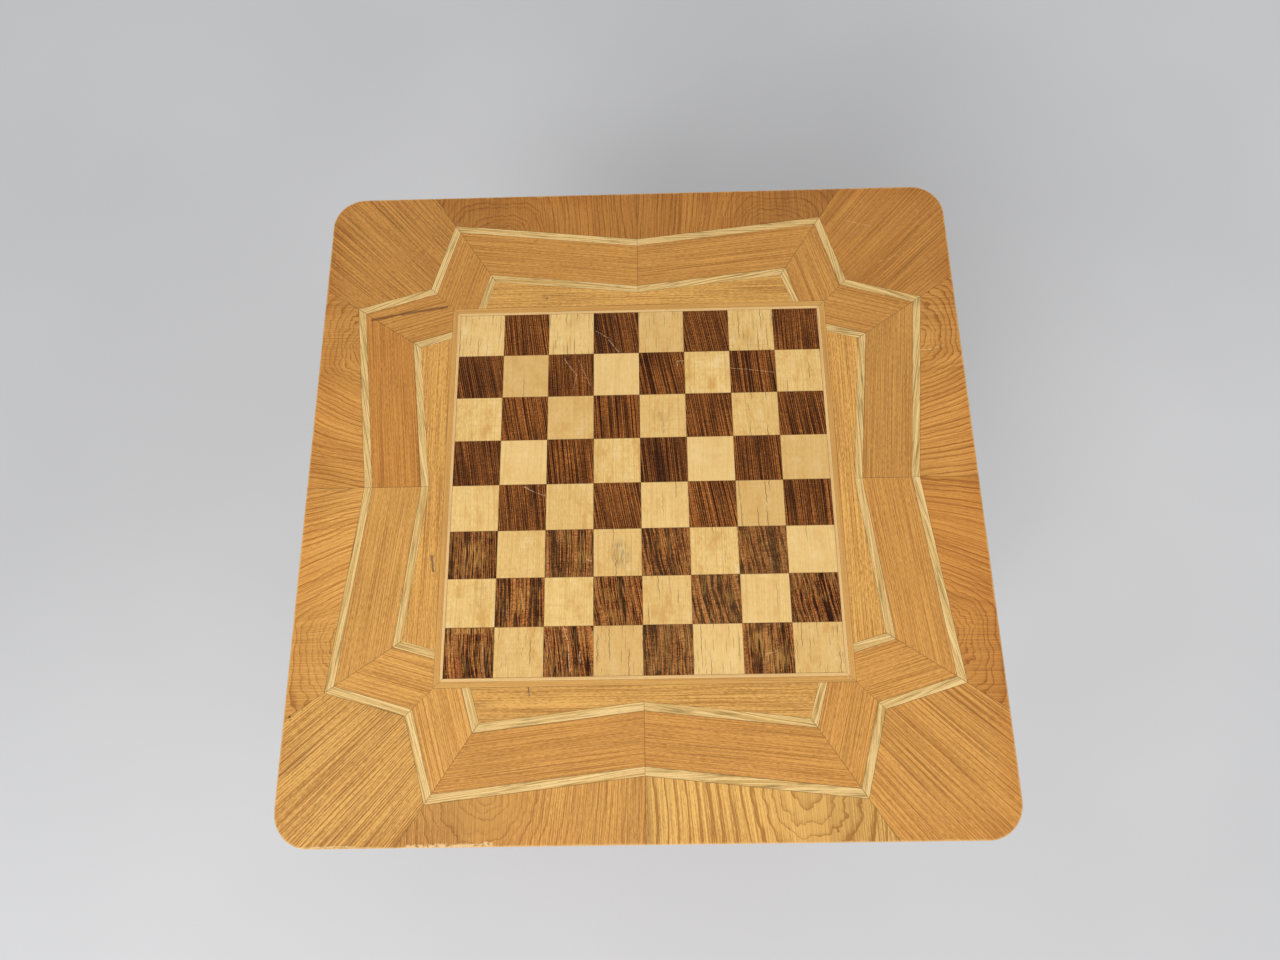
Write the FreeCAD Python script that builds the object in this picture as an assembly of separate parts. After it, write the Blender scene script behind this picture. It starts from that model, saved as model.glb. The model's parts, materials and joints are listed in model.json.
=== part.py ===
import FreeCAD, Part
import math
import os

from FreeCAD import Vector

# Chess table: a square veneered top with an inlaid board, on four tapered legs.
#
# The top is a core panel with a tongued hardwood lipping, a backing veneer below and the
# marquetry above. The marquetry is cut leaf by leaf: 64 squares, a pale line and a banding
# round them, then a sixteen-sided star of two mitred stringings with a band between them,
# and a border of corner leaves and book-matched side leaves out to the rounded edge.
# The rails meet the legs in haunched, mitred tenons. Braces are screwed across the corners,
# and wooden buttons that are screwed to the top hook into slots in the rails.
#
# Millimetres, +Z up. The origin is on the floor under the middle of the top. The front is
# -Y and the right is +X. The table repeats every quarter turn, so each piece is drawn for
# the front side, or for the front right corner, and turned into its other places.

# ---- Board and marquetry, from the middle outwards ----
square_side = 45.0
squares_per_side = 8
line_width = 3.0  # pale line round the squares
banding_width = 5.2  # cross-cut banding round the line
field_width = 14.4  # narrowest part of the field between banding and star, at mid side
stringing_width = 7.6
band_width = 46.4  # between the two stringings, square to them
star_tip_rise = 21.0  # how far the tips stand out beyond the mid-side notch
star_tip_past_board = 2.3  # along the side, from the banding's edge to the tip
star_notch_past_board = 23.8  # from the banding's corner out to the star's corner notch
border_width = 34.4  # from a star tip to the edge of the top
leaf_gap = 0.16  # glue line between neighbouring leaves

# ---- Top panel ----
corner_radius = 32.0
veneer_thickness = 0.8
core_thickness = 19.0
lipping_width = 16.0
arris_bevel = 0.6  # taken off the upper and the lower edge of the top
tongue_thickness = 6.0
tongue_depth = 6.0
glue_gap = 0.15  # room for glue round tongues and tenons
mortise_end_gap = 1.0  # a tenon stops this far short of the end of its mortise

# ---- Base ----
table_height = 720.0
overhang = 38.0  # from the edge of the top in to the outer face of the legs
leg_side = 44.0
foot_side = 26.0
leg_corner_radius = 2.5
taper_drop = 14.0  # straight part of the leg that shows below the rails
rail_height = 78.0
rail_thickness = 20.0
rail_setback = 4.0  # the rails lie this far behind the legs' outer faces
rail_edge_radius = 1.5
tenon_thickness = 8.0
tenon_shoulder = 9.0  # above and below the tenon
haunch_depth = 8.0

# ---- Corner braces ----
brace_thickness = 22.0
brace_height = 46.0
brace_to_leg = 3.0
brace_screw_length = 30.0
brace_screw_in_rail = 14.0
brace_screw_from_end = 8.0  # from the brace's outer corner, along the rail

# ---- Buttons that hold the top ----
button_from_middle = 105.0
button_width = 30.0
button_body_depth = 34.0
button_tongue_length = 9.0
button_tongue_thickness = 9.5
button_slot_drop = 11.0  # from the rail's top edge down to the slot
button_slot_depth = 10.0
button_slot_play = 8.0  # the slot is longer than the button, so that the top can move
button_slot_headroom = 1.0
button_screw_length = 34.0

# ---- Screws and glides ----
screw_head_diameter = 8.0
screw_shank_diameter = 4.0
screw_point_length = 5.0
screw_slot_width = 1.1
screw_slot_depth = 1.2
screw_facets = 12  # screws and their holes are regular prisms and pyramids, which keeps them light
well_play = 1.0  # the well over a screw's head is this much wider than the head
glide_diameter = 19.0
glide_thickness = 4.0
glide_edge_bevel = 1.5
glide_nail_side = 2.2
glide_nail_length = 14.0

SIDES = ["front", "right", "back", "left"]
CORNERS = ["front_right", "back_right", "back_left", "front_left"]
UP = Vector(0, 0, 1)
ORIGIN = Vector(0, 0, 0)
DIAGONAL = Vector(1, 1, 0)  # normal of the mirror plane through the front right corner
TOLERANCE = 1e-6

# ---- Sizes that follow ----
squares_half = square_side * squares_per_side / 2
line_half = squares_half + line_width
board_half = line_half + banding_width

tip_across = board_half + star_tip_past_board
corner_notch = board_half + star_notch_past_board
star_slope = math.atan2(star_tip_rise, tip_across)
star_side_notch = board_half + field_width + (2 * stringing_width + band_width) / math.cos(star_slope)
tip_out = star_side_notch + star_tip_rise
top_half = tip_out + border_width

top_thickness = core_thickness + 2 * veneer_thickness
underside = table_height - top_thickness
core_bottom = underside + veneer_thickness
face_bottom = core_bottom + core_thickness

leg_out = top_half - overhang
leg_in = leg_out - leg_side
rail_out = leg_out - rail_setback
rail_in = rail_out - rail_thickness
rail_bottom = underside - rail_height
tenon_out = rail_out - (rail_thickness - tenon_thickness) / 2
tenon_in = tenon_out - tenon_thickness
button_thickness = button_slot_drop + button_tongue_thickness
button_places = (-button_from_middle, button_from_middle)  # along a side


# ---- Plan geometry ----
def plan(x, y):
    return Vector(x, y, 0)


def turned(point, quarter):
    """A point of the plan after that many quarter turns about the middle."""
    x, y = point.x, point.y
    for _ in range(quarter % 4):
        x, y = -y, x
    return plan(x, y)


def closed_wire(points):
    return Part.makePolygon(points + points[:1])


def prism(points, bottom, height):
    """The solid that stands on an outline of the plan."""
    wire = closed_wire([Vector(p.x, p.y, bottom) for p in points])
    return Part.Face(wire).extrude(UP * height)


def inward_normal(start, end):
    """Unit vector to the left of an edge, which is inwards on a counter-clockwise outline."""
    along = (end - start).normalize()
    return plan(-along.y, along.x)


def inset(points, distance):
    """A counter-clockwise outline with every edge moved inwards and mitred again."""
    moved = []
    for i, here in enumerate(points):
        before = inward_normal(points[i - 1], here)
        after = inward_normal(here, points[(i + 1) % len(points)])
        moved.append(here + (before + after) * (distance / (1 + before.dot(after))))
    return moved


def centred_square(half):
    return [turned(plan(-half, -half), quarter) for quarter in range(4)]


def rounded_square_wire(low_x, high_x, low_y, high_y, radius, z):
    """A level rectangle with round corners, as a wire of four lines and four arcs."""
    edges = []
    middles = [(high_x - radius, high_y - radius), (low_x + radius, high_y - radius),
               (low_x + radius, low_y + radius), (high_x - radius, low_y + radius)]
    for i, (x, y) in enumerate(middles):
        arc = Part.Circle(Vector(x, y, z), UP, radius)
        start, end = i * math.pi / 2, (i + 1) * math.pi / 2
        edges.append(Part.ArcOfCircle(arc, start, end).toShape())
    ends = [(edge.valueAt(edge.FirstParameter), edge.valueAt(edge.LastParameter)) for edge in edges]
    lines = [Part.makeLine(ends[i][1], ends[(i + 1) % 4][0]) for i in range(4)]
    return Part.Wire([edge for pair in zip(edges, lines) for edge in pair])


def edges_at(shape, z):
    """The edges of a shape that lie at one height."""
    return [edge for edge in shape.Edges if all(abs(v.Z - z) < TOLERANCE for v in edge.Vertexes)]


def top_blank(bottom, height, eased_z=None):
    """A slice of the whole top, with the arris at the height eased_z taken off."""
    wire = rounded_square_wire(-top_half, top_half, -top_half, top_half, corner_radius, bottom)
    blank = Part.Face(wire).extrude(UP * height)
    if eased_z is None:
        return blank
    return blank.makeChamfer(arris_bevel, edges_at(blank, eased_z))


# ---- Placing and writing ----
def quarter_turned(shape, quarter):
    copy = shape.copy()
    copy.rotate(ORIGIN, UP, 90 * quarter)
    return copy


def four_ways(shape):
    return [quarter_turned(shape, quarter) for quarter in range(4)]


def write(name, *shapes):
    """One file for each node. A group of like pieces is a compound of separate solids."""
    solids = [solid for shape in shapes for solid in shape.Solids]
    for solid in solids:
        if not solid.isValid() or solid.Volume <= 0:
            raise ValueError(name + " has a solid that is not valid")
    node = solids[0] if len(solids) == 1 else Part.makeCompound(solids)
    node.exportStep(os.path.join("parts", name + ".step"))


def write_around(name, places, shapes):
    for place, shape in zip(places, shapes):
        write(name + "_" + place, shape)


# ---- Marquetry ----
SIDE_EDGES = range(1, 3)  # edges of the star from tip to tip on the front side
CORNER_EDGES = range(3, 5)  # from the front side's right tip, by the notch, to the right side's


def star_outline():
    """Outer edge of the outer stringing: a corner notch, a tip, a mid-side notch and a tip
    on each side, counter-clockwise from the front left corner."""
    side = [plan(-corner_notch, -corner_notch), plan(-tip_across, -tip_out),
            plan(0, -star_side_notch), plan(tip_across, -tip_out)]
    return [turned(point, quarter) for quarter in range(4) for point in side]


def leaf(points, outside=None, inside=None):
    """One leaf of face veneer, a glue line smaller than its place. It is trimmed to the
    solid outside, and cut away where it meets the solid inside."""
    shape = prism(inset(points, leaf_gap / 2), face_bottom, veneer_thickness)
    if outside is not None:
        shape = shape.common(outside)
    if inside is not None:
        shape = shape.cut(inside)
    return shape


def strips(outer, inner, edges, inside=None):
    """Mitred leaves along some edges of two outlines that have matching corners."""
    made = []
    for i in edges:
        j = (i + 1) % len(outer)
        made.append(leaf([outer[i], outer[j], inner[j], inner[i]], inside=inside))
    return Part.makeCompound(made)


def board_squares(dark):
    """The squares of one colour. The front left square is dark."""
    made = []
    for column in range(squares_per_side):
        for row in range(squares_per_side):
            if ((column + row) % 2 == 0) == dark:
                x = column * square_side - squares_half
                y = row * square_side - squares_half
                made.append(leaf([plan(x, y), plan(x + square_side, y),
                                  plan(x + square_side, y + square_side), plan(x, y + square_side)]))
    return Part.makeCompound(made)


def board_edgings():
    line = strips(centred_square(line_half), centred_square(squares_half), range(4))
    banding = strips(centred_square(board_half), centred_square(line_half), range(4))
    return line, banding


def star_parts(edges):
    """Outer stringing, band and inner stringing along some edges of the star."""
    outer = star_outline()
    band_edge = inset(outer, stringing_width)
    inner = inset(band_edge, band_width)
    board = board_area()
    return (strips(outer, band_edge, edges),
            strips(band_edge, inner, edges, inside=board),
            strips(inner, inset(inner, stringing_width), edges, inside=board))


def board_area():
    """What the leaves round the board are cut away from."""
    return prism(centred_square(board_half + leaf_gap / 2), face_bottom, veneer_thickness)


def field_leaf():
    """Leaf between the front of the board and the star, cut to the diagonals at its ends."""
    edge = inset(star_outline(), 2 * stringing_width + band_width)
    return leaf([ORIGIN] + edge[0:5], inside=board_area())


def border():
    """The two book-matched leaves of the front side, and the leaf of the front right
    corner. Their seams carry on the mitres of the star out to the edge."""
    sheet = top_blank(face_bottom, veneer_thickness, eased_z=table_height)
    star = star_outline()
    past_edge = border_width + star_tip_rise + corner_radius
    beyond = inset(star, -past_edge)
    side = [leaf([beyond[i], beyond[i + 1], star[i + 1], star[i]], outside=sheet) for i in SIDE_EDGES]
    outermost = plan(beyond[5].x, beyond[3].y)
    corner = leaf([star[4], star[3], beyond[3], outermost, beyond[5], star[5]], outside=sheet)
    return Part.makeCompound(side), corner


# ---- Top panel ----
def tongue_plan(growth):
    """Plan of the front lipping's tongue: it runs from mitre to mitre."""
    core_half = top_half - lipping_width
    deep = core_half - tongue_depth - growth
    return [plan(-core_half, -core_half), plan(core_half, -core_half),
            plan(deep, -deep), plan(-deep, -deep)]


def tongue(growth):
    middle = core_bottom + core_thickness / 2
    height = tongue_thickness + 2 * growth
    return prism(tongue_plan(growth), middle - height / 2, height)


def core_panel(holes):
    blank = prism(centred_square(top_half - lipping_width), core_bottom, core_thickness)
    for groove in four_ways(tongue(glue_gap)):
        blank = blank.cut(groove)
    return blank.cut(holes)


def lipping():
    """Front lipping: mitred at both ends, tongued into the core."""
    ring = top_blank(core_bottom, core_thickness).cut(
        prism(centred_square(top_half - lipping_width), core_bottom, core_thickness))
    reach = top_half + corner_radius
    sector = prism([ORIGIN, plan(-reach, -reach), plan(reach, -reach)], core_bottom, core_thickness)
    return ring.common(sector).fuse(tongue(0)).removeSplitter()


def backing_veneer(holes):
    return top_blank(underside, veneer_thickness, eased_z=underside).cut(holes)


# ---- Legs and rails ----
def tenon(growth, end_gap):
    """Mitred tenon with its haunch, on the right end of the front rail. A growth and a
    smaller end gap make the mortise that it fits."""
    low = rail_bottom + tenon_shoulder - growth
    high = underside - tenon_shoulder + growth
    out, inner = tenon_out + growth, tenon_in - growth
    stem = prism([plan(leg_in, -out), plan(out - end_gap, -out),
                  plan(inner - end_gap, -inner), plan(leg_in, -inner)], low, high - low)
    haunch_end = leg_in + haunch_depth + growth
    haunch = prism([plan(leg_in, -out), plan(haunch_end, -out),
                    plan(haunch_end, -inner), plan(leg_in, -inner)], high, underside - high)
    return stem.fuse(haunch)


def leg():
    """Front right leg: square at the rails, then tapered on its two inner faces."""
    def section(side, z):
        return rounded_square_wire(leg_out - side, leg_out, -leg_out, side - leg_out,
                                   leg_corner_radius, z)

    sections = [section(leg_side, underside), section(leg_side, rail_bottom - taper_drop),
                section(foot_side, glide_thickness)]
    post = Part.makeLoft(sections, True, True)
    mortise = tenon(glue_gap, 0)
    return post.cut(mortise).cut(mortise.mirror(ORIGIN, DIAGONAL))


def rail(holes):
    """Front rail with a tenon on each end and slots for two buttons."""
    bar = Part.makeBox(2 * leg_in, rail_thickness, rail_height, Vector(-leg_in, -rail_out, rail_bottom))
    long_edges = [edge for edge in edges_at(bar, rail_bottom) if edge.Length > leg_in]
    bar = bar.makeFillet(rail_edge_radius, long_edges)
    right = tenon(0, mortise_end_gap)
    bar = bar.fuse(right).fuse(right.mirror(ORIGIN, Vector(1, 0, 0))).removeSplitter()
    slot_length = button_width + button_slot_play
    slot_height = button_tongue_thickness + button_slot_headroom
    for x in button_places:
        slot = Part.makeBox(slot_length, button_slot_depth, slot_height,
                            Vector(x - slot_length / 2, -rail_in - button_slot_depth,
                                   underside - button_slot_drop - slot_height))
        bar = bar.cut(slot)
    return bar.cut(holes)


# ---- Screws ----
def ring(radius, z):
    """A level regular polygon round the Z axis."""
    step = 2 * math.pi / screw_facets
    return closed_wire([Vector(radius * math.cos(i * step), radius * math.sin(i * step), z)
                        for i in range(screw_facets)])


def screw(length):
    """Slotted countersunk wood screw: its head is at the origin and it points up. The first
    shape is the whole body, for its hole, and the second one has the slot."""
    head, shank = screw_head_diameter / 2, screw_shank_diameter / 2
    point = Vector(0, 0, length)
    rings = [ring(head, 0), ring(shank, head - shank), ring(shank, length - screw_point_length)]
    body = Part.makeLoft(rings + [Part.Vertex(point)], True, True)
    slot = Part.makeBox(2 * head, screw_slot_width, screw_slot_depth,
                        Vector(-head, -screw_slot_width / 2, 0))
    return body, body.cut(slot)


def placed(shape, position, direction):
    """A shape that points up, moved to a position and turned to point along a direction."""
    copy = shape.copy()
    copy.Placement = FreeCAD.Placement(position, FreeCAD.Rotation(UP, direction))
    return copy


# ---- Corner braces ----
def brace_lines():
    """x - y of the front right brace's outer and inner faces."""
    outer = 2 * leg_in - brace_to_leg * math.sqrt(2)
    return outer, outer - brace_thickness * math.sqrt(2)


def brace_screw_place():
    """Head of the screw that goes into the front rail from the front right brace."""
    outer, _ = brace_lines()
    return Vector(outer - rail_in - brace_screw_from_end,
                  brace_screw_length - brace_screw_in_rail - rail_in, underside - brace_height / 2)


def at_both_ends(shape):
    """A piece at the front rail's end of the brace, and its mirror image at the side rail's."""
    return [shape, shape.mirror(ORIGIN, DIAGONAL)]


def brace_screws():
    """The two screws of the front right brace: whole bodies for the holes, and slotted ones."""
    into_rail = Vector(0, -1, 0)
    whole, slotted = [placed(shape, brace_screw_place(), into_rail) for shape in screw(brace_screw_length)]
    return at_both_ends(whole), at_both_ends(slotted)


def corner_brace(screw_bodies):
    """Front right brace: a bar across the corner, with a well over the head of each screw."""
    outer, inner = brace_lines()
    block = prism([plan(inner - rail_in, -rail_in), plan(outer - rail_in, -rail_in),
                   plan(rail_in, rail_in - outer), plan(rail_in, rail_in - inner)],
                  underside - brace_height, brace_height)
    well = Part.Face(ring((screw_head_diameter + well_play) / 2, 0)).extrude(UP * 2 * brace_thickness)
    wells = at_both_ends(placed(well, brace_screw_place(), Vector(0, 1, 0)))
    return block.cut(Part.makeCompound(wells + screw_bodies))


# ---- Buttons ----
def button_screw_places():
    y = -rail_in + button_body_depth / 2
    return [Vector(x, y, underside - button_thickness) for x in button_places]


def button_screws():
    whole, slotted = screw(button_screw_length)
    places = button_screw_places()
    return [placed(whole, p, UP) for p in places], [placed(slotted, p, UP) for p in places]


def buttons(screw_bodies):
    """The two buttons of the front rail: a block under the top with a tongue in the slot."""
    made = []
    for x in button_places:
        low = underside - button_thickness
        body = Part.makeBox(button_width, button_body_depth, button_thickness,
                            Vector(x - button_width / 2, -rail_in, low))
        hook = Part.makeBox(button_width, button_tongue_length, button_tongue_thickness,
                            Vector(x - button_width / 2, -rail_in - button_tongue_length, low))
        made.append(body.fuse(hook).removeSplitter().cut(Part.makeCompound(screw_bodies)))
    return Part.makeCompound(made)


# ---- Glides ----
def glide():
    """Nail-on glide of the front right foot: a disc with a bevelled rim, and its nail."""
    disc = Part.makeCylinder(glide_diameter / 2, glide_thickness)
    disc = disc.makeChamfer(glide_edge_bevel, edges_at(disc, 0))
    nail = Part.makeBox(glide_nail_side, glide_nail_side, glide_nail_length,
                        Vector(-glide_nail_side / 2, -glide_nail_side / 2, glide_thickness))
    one = disc.fuse(nail)
    centre = leg_out - foot_side / 2
    one.translate(Vector(centre, -centre, 0))
    return one


def main():
    os.makedirs("parts", exist_ok=True)

    brace_bodies, brace_pieces = brace_screws()
    button_bodies, button_pieces = button_screws()
    top_holes = Part.makeCompound([hole for body in button_bodies for hole in four_ways(body)])
    rail_holes = Part.makeCompound(brace_bodies + [quarter_turned(body, 3) for body in brace_bodies])

    write("core_panel", core_panel(top_holes))
    write_around("lipping", SIDES, four_ways(lipping()))
    write("backing_veneer", backing_veneer(top_holes))

    side_leaves, corner_leaf = border()
    write_around("border_leaves", SIDES, four_ways(side_leaves))
    write_around("border_leaf", CORNERS, four_ways(corner_leaf))
    outer, band, inner = star_parts(SIDE_EDGES)
    write_around("outer_stringing", SIDES, four_ways(outer))
    write_around("star_band", SIDES, four_ways(band))
    write_around("inner_stringing", SIDES, four_ways(inner))
    outer, band, inner = star_parts(CORNER_EDGES)
    write_around("outer_stringing", CORNERS, four_ways(outer))
    write_around("star_band", CORNERS, four_ways(band))
    write("inner_stringing_stubs", *four_ways(inner))
    write_around("field_leaf", SIDES, four_ways(field_leaf()))
    line, banding = board_edgings()
    write("board_line", line)
    write("board_banding", banding)
    write("dark_squares", board_squares(dark=True))
    write("light_squares", board_squares(dark=False))

    feet = four_ways(glide())
    write_around("leg", CORNERS, four_ways(leg().cut(feet[0])))
    write_around("rail", SIDES, four_ways(rail(rail_holes)))
    write_around("corner_brace", CORNERS, four_ways(corner_brace(brace_bodies)))
    write("brace_screws", *four_ways(Part.makeCompound(brace_pieces)))
    write("top_buttons", *four_ways(buttons(button_bodies)))
    write("button_screws", *four_ways(Part.makeCompound(button_pieces)))
    write("glides", *feet)


main()
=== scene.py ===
import json
import math
from functools import partialmethod

import bpy
from mathutils import Matrix

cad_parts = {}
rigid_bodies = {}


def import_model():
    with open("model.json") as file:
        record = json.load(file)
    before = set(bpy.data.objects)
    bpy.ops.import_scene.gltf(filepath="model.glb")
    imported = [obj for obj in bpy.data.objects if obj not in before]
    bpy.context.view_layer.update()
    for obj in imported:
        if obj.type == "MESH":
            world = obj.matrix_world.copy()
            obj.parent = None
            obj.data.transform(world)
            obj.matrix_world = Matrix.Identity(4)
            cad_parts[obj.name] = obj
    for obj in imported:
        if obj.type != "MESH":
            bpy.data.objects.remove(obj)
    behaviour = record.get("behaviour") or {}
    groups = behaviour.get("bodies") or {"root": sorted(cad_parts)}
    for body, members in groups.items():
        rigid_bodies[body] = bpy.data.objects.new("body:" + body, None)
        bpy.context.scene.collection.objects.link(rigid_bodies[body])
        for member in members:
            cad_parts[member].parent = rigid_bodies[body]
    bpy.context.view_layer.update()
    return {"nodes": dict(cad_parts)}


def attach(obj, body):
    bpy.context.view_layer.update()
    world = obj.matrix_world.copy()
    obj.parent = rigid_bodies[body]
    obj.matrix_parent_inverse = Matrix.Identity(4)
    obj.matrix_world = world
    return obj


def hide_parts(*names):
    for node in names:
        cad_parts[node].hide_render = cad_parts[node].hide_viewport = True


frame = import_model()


# ---- Camera ----
# A wide lens held at eye height over the near edge of the top, looking down and a little
# forward.
LENS = 24.33
CAMERA_PLACE = (0.01284, -0.23876, 1.50801)
CAMERA_TURN = (16.9935, 1.2345, -0.8114)

camera = bpy.data.objects.new("camera", bpy.data.cameras.new("camera"))
bpy.context.scene.collection.objects.link(camera)
camera.data.lens = LENS
camera.data.sensor_width = 36.0
camera.data.clip_start = 0.01
camera.location = CAMERA_PLACE
camera.rotation_euler = [math.radians(angle) for angle in CAMERA_TURN]
bpy.context.scene.camera = camera


# ---- Floor, sky and lamps ----
# A plain pale grey floor under the feet, which fades into an even pale backdrop. A broad lamp in
# front of the near edge and a weaker one to the right leave the near rows a little lighter. Seen
# from below the floor is clear, so that the underside can be looked at.
def srgb(red, green, blue):
    """A colour in steps of 0 to 255 as the linear colour that a socket takes."""
    steps = [value / 255 for value in (red, green, blue)]
    linear = [((v + 0.055) / 1.055) ** 2.4 if v > 0.04045 else v / 12.92 for v in steps]
    return (*linear, 1.0)


class Net:
    """Writes nodes into one tree. A socket given for an input is linked, and a value is set."""

    def __init__(self, tree):
        self.tree = tree

    def fill(self, made, inputs):
        for key, value in inputs.items():
            if isinstance(value, bpy.types.NodeSocket):
                self.tree.links.new(value, made.inputs[key])
            else:
                made.inputs[key].default_value = value
        return made.outputs

    def node(self, kind, inputs, **settings):
        made = self.tree.nodes.new("ShaderNode" + kind)
        for name, value in settings.items():
            setattr(made, name, value)
        return self.fill(made, inputs)

    def group(self, name, **inputs):
        made = self.tree.nodes.new("ShaderNodeGroup")
        made.node_tree = bpy.data.node_groups[name]
        return self.fill(made, inputs)

    def math(self, operation, *values):
        return self.node("Math", dict(enumerate(values)), operation=operation)[0]

    plus = partialmethod(math, "ADD")
    minus = partialmethod(math, "SUBTRACT")
    times = partialmethod(math, "MULTIPLY")
    over = partialmethod(math, "DIVIDE")
    line = partialmethod(math, "MULTIPLY_ADD")
    larger = partialmethod(math, "MAXIMUM")
    smaller = partialmethod(math, "MINIMUM")
    absolute = partialmethod(math, "ABSOLUTE")

    def vector(self, x, y, z):
        return self.node("CombineXYZ", {0: x, 1: y, 2: z})[0]

    def vectors(self, operation, *values):
        made = self.node("VectorMath", dict(enumerate(values)), operation=operation)
        return made[1] if operation in ("DOT_PRODUCT", "DISTANCE", "LENGTH") else made[0]

    def millimetres(self, place):
        """A place in metres as its x, y and z in mm."""
        return self.node("SeparateXYZ", {0: self.vectors("MULTIPLY", place, (1000.0,) * 3)})

    def step(self, value, start, end, low=0.0, high=1.0):
        """Goes smoothly from low to high while value goes from start to end."""
        inputs = {0: value, 1: start, 2: end, 3: low, 4: high}
        return self.node("MapRange", inputs, interpolation_type="SMOOTHSTEP")[0]

    def noise(self, place, detail=2.0, roughness=0.5):
        inputs = {"Vector": place, "Scale": 1.0, "Detail": detail, "Roughness": roughness}
        return self.node("TexNoise", inputs)[0]

    def patches(self, place, waves, *settings):
        """Noise with so many waves a metre, the same each way or along x, y and z."""
        waves = waves if isinstance(waves, tuple) else (waves,) * 3
        return self.noise(self.vectors("MULTIPLY", place, waves), *settings)

    def mix(self, amount, first, second, blend="MIX"):
        inputs = {0: amount, 6: first, 7: second}
        return self.node("Mix", inputs, data_type="RGBA", blend_type=blend)[2]


def new_material(name):
    """A material, its writer, and the place on the piece in metres."""
    material = bpy.data.materials.new(name)
    material.use_nodes = True
    material.node_tree.nodes.clear()
    net = Net(material.node_tree)
    return material, net, net.node("TexCoord", {})["Object"]


def surface(net, colour, roughness, height, depth, sheen=0.3, metal=0.0):
    """Ends a material. Height goes from 0 to 1 over a depth in metres."""
    normal = net.node("Bump", {"Distance": depth, "Height": height})[0]
    inputs = {"Base Color": colour, "Roughness": roughness, "Normal": normal,
              "Specular IOR Level": sheen, "Metallic": metal}
    net.node("OutputMaterial", {"Surface": net.node("BsdfPrincipled", inputs)[0]})


FLOOR_SIZE = 28.0
FLOOR_COLOUR = srgb(222, 222, 223)
FLOOR_CLOUD_COLOUR = srgb(216, 216, 217)
FLOOR_FADE = (1.2, 4.4)
BACKDROP_COLOUR = srgb(207, 207, 208)

bpy.ops.mesh.primitive_grid_add(x_subdivisions=8, y_subdivisions=8, size=FLOOR_SIZE)
floor = bpy.context.object
floor.name = "floor"
material, net, place = new_material("floor")
cloud = net.noise(place, 3.0)
colour = net.mix(net.step(cloud, 0.35, 0.65), FLOOR_COLOUR, FLOOR_CLOUD_COLOUR)
roughness = net.step(cloud, 0.3, 0.7, 0.8, 0.9)
normal = net.node("Bump", {"Distance": 0.0005, "Height": cloud})[0]
shader = net.node("BsdfPrincipled", {"Base Color": colour, "Roughness": roughness,
                                     "Normal": normal, "Specular IOR Level": 0.1})[0]
seen = net.node("LightPath", {})["Is Camera Ray"]
faded = net.times(seen, net.step(net.vectors("LENGTH", place), *FLOOR_FADE))
backdrop = net.node("Emission", {"Color": BACKDROP_COLOUR})[0]
shader = net.node("MixShader", {0: faded, 1: shader, 2: backdrop})[0]
below = net.times(seen, net.node("NewGeometry", {})["Backfacing"])
clear = net.node("BsdfTransparent", {})[0]
net.node("OutputMaterial", {"Surface": net.node("MixShader", {0: below, 1: shader, 2: clear})[0]})
floor.data.materials.append(material)

SKY_STRENGTH = 0.53
SKY_COLOUR = (0.98, 0.99, 1.0, 1.0)

world = bpy.data.worlds.new("sky")
bpy.context.scene.world = world
world.use_nodes = True
world.node_tree.nodes.clear()
net = Net(world.node_tree)
rays = net.node("LightPath", {})
light = net.node("Background", {"Color": SKY_COLOUR, "Strength": SKY_STRENGTH})[0]
backdrop = net.node("Background", {"Color": BACKDROP_COLOUR, "Strength": 1.0})[0]
mirrored = net.larger(rays["Is Glossy Ray"], rays["Is Transmission Ray"])
shown = net.larger(rays["Is Camera Ray"], mirrored)
sky = net.node("MixShader", {0: shown, 1: light, 2: backdrop})[0]
net.node("OutputWorld", {"Surface": sky})

LAMP_AIM = 0.7
for name, (x, y, z), size, power in (
    ("front_lamp", (-0.8, -1.9, 2.6), 1.4, 50.0),
    ("side_lamp", (3.2, -0.4, 2.6), 2.0, 20.0),
):
    lamp = bpy.data.lights.new(name, "AREA")
    lamp.size = size
    lamp.energy = power
    lamp_object = bpy.data.objects.new(name, lamp)
    bpy.context.scene.collection.objects.link(lamp_object)
    lamp_object.location = (x, y, z)
    tilt = math.atan2(math.hypot(x, y), z - LAMP_AIM)
    lamp_object.rotation_euler = (tilt, 0.0, math.atan2(x, -y))

bpy.context.scene.view_settings.view_transform = "Standard"


# ---- Dark and light squares ----
# Sixty-four veneers, 45 mm square, glued edge to edge with their grain running away from the
# player: straight brown walnut with orange streaks, and plain pale sycamore with hairline cracks.
SQUARE_SIDE = 45.0
SQUARES_HALF = 180.0
LIGHT_SQUARE = ((246, 208, 132), (214, 168, 94), (150, 108, 58))
DARK_SQUARE = ((50, 21, 4), (188, 114, 50), (30, 12, 3))
HONEY_CLOUD = srgb(212, 162, 86)
CREAM_CLOUD = srgb(245, 214, 156)
RIPPLE_COLOUR = srgb(210, 166, 98)
WARM_SYCAMORE = srgb(214, 168, 100)
PALE_SYCAMORE = srgb(238, 200, 132)
CRACK_COLOUR = srgb(92, 64, 38)
STAIN_COLOUR = srgb(128, 112, 84)
SQUARE_GRIME = srgb(120, 84, 50)
ORANGE_STREAK = srgb(160, 93, 44)
BLACK_STREAK = srgb(48, 20, 4)
BRIGHT_LINE = srgb(178, 122, 68)
OLIVE_WALNUT = srgb(132, 98, 54)
DIM_WALNUT = srgb(58, 32, 16)
WORN_WALNUT = srgb(194, 142, 74)
DUST_SHADES = ((0.6, 0.52, 0.43, 1.0), (1.42, 1.5, 1.8, 1.0))
SCUFF_SHADES = ((0.78, 0.72, 0.64, 1.0), (1.2, 1.24, 1.36, 1.0))
SCRATCH_COLOUR = srgb(224, 196, 156)
WALNUT_EDGE = srgb(58, 36, 22)


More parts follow.
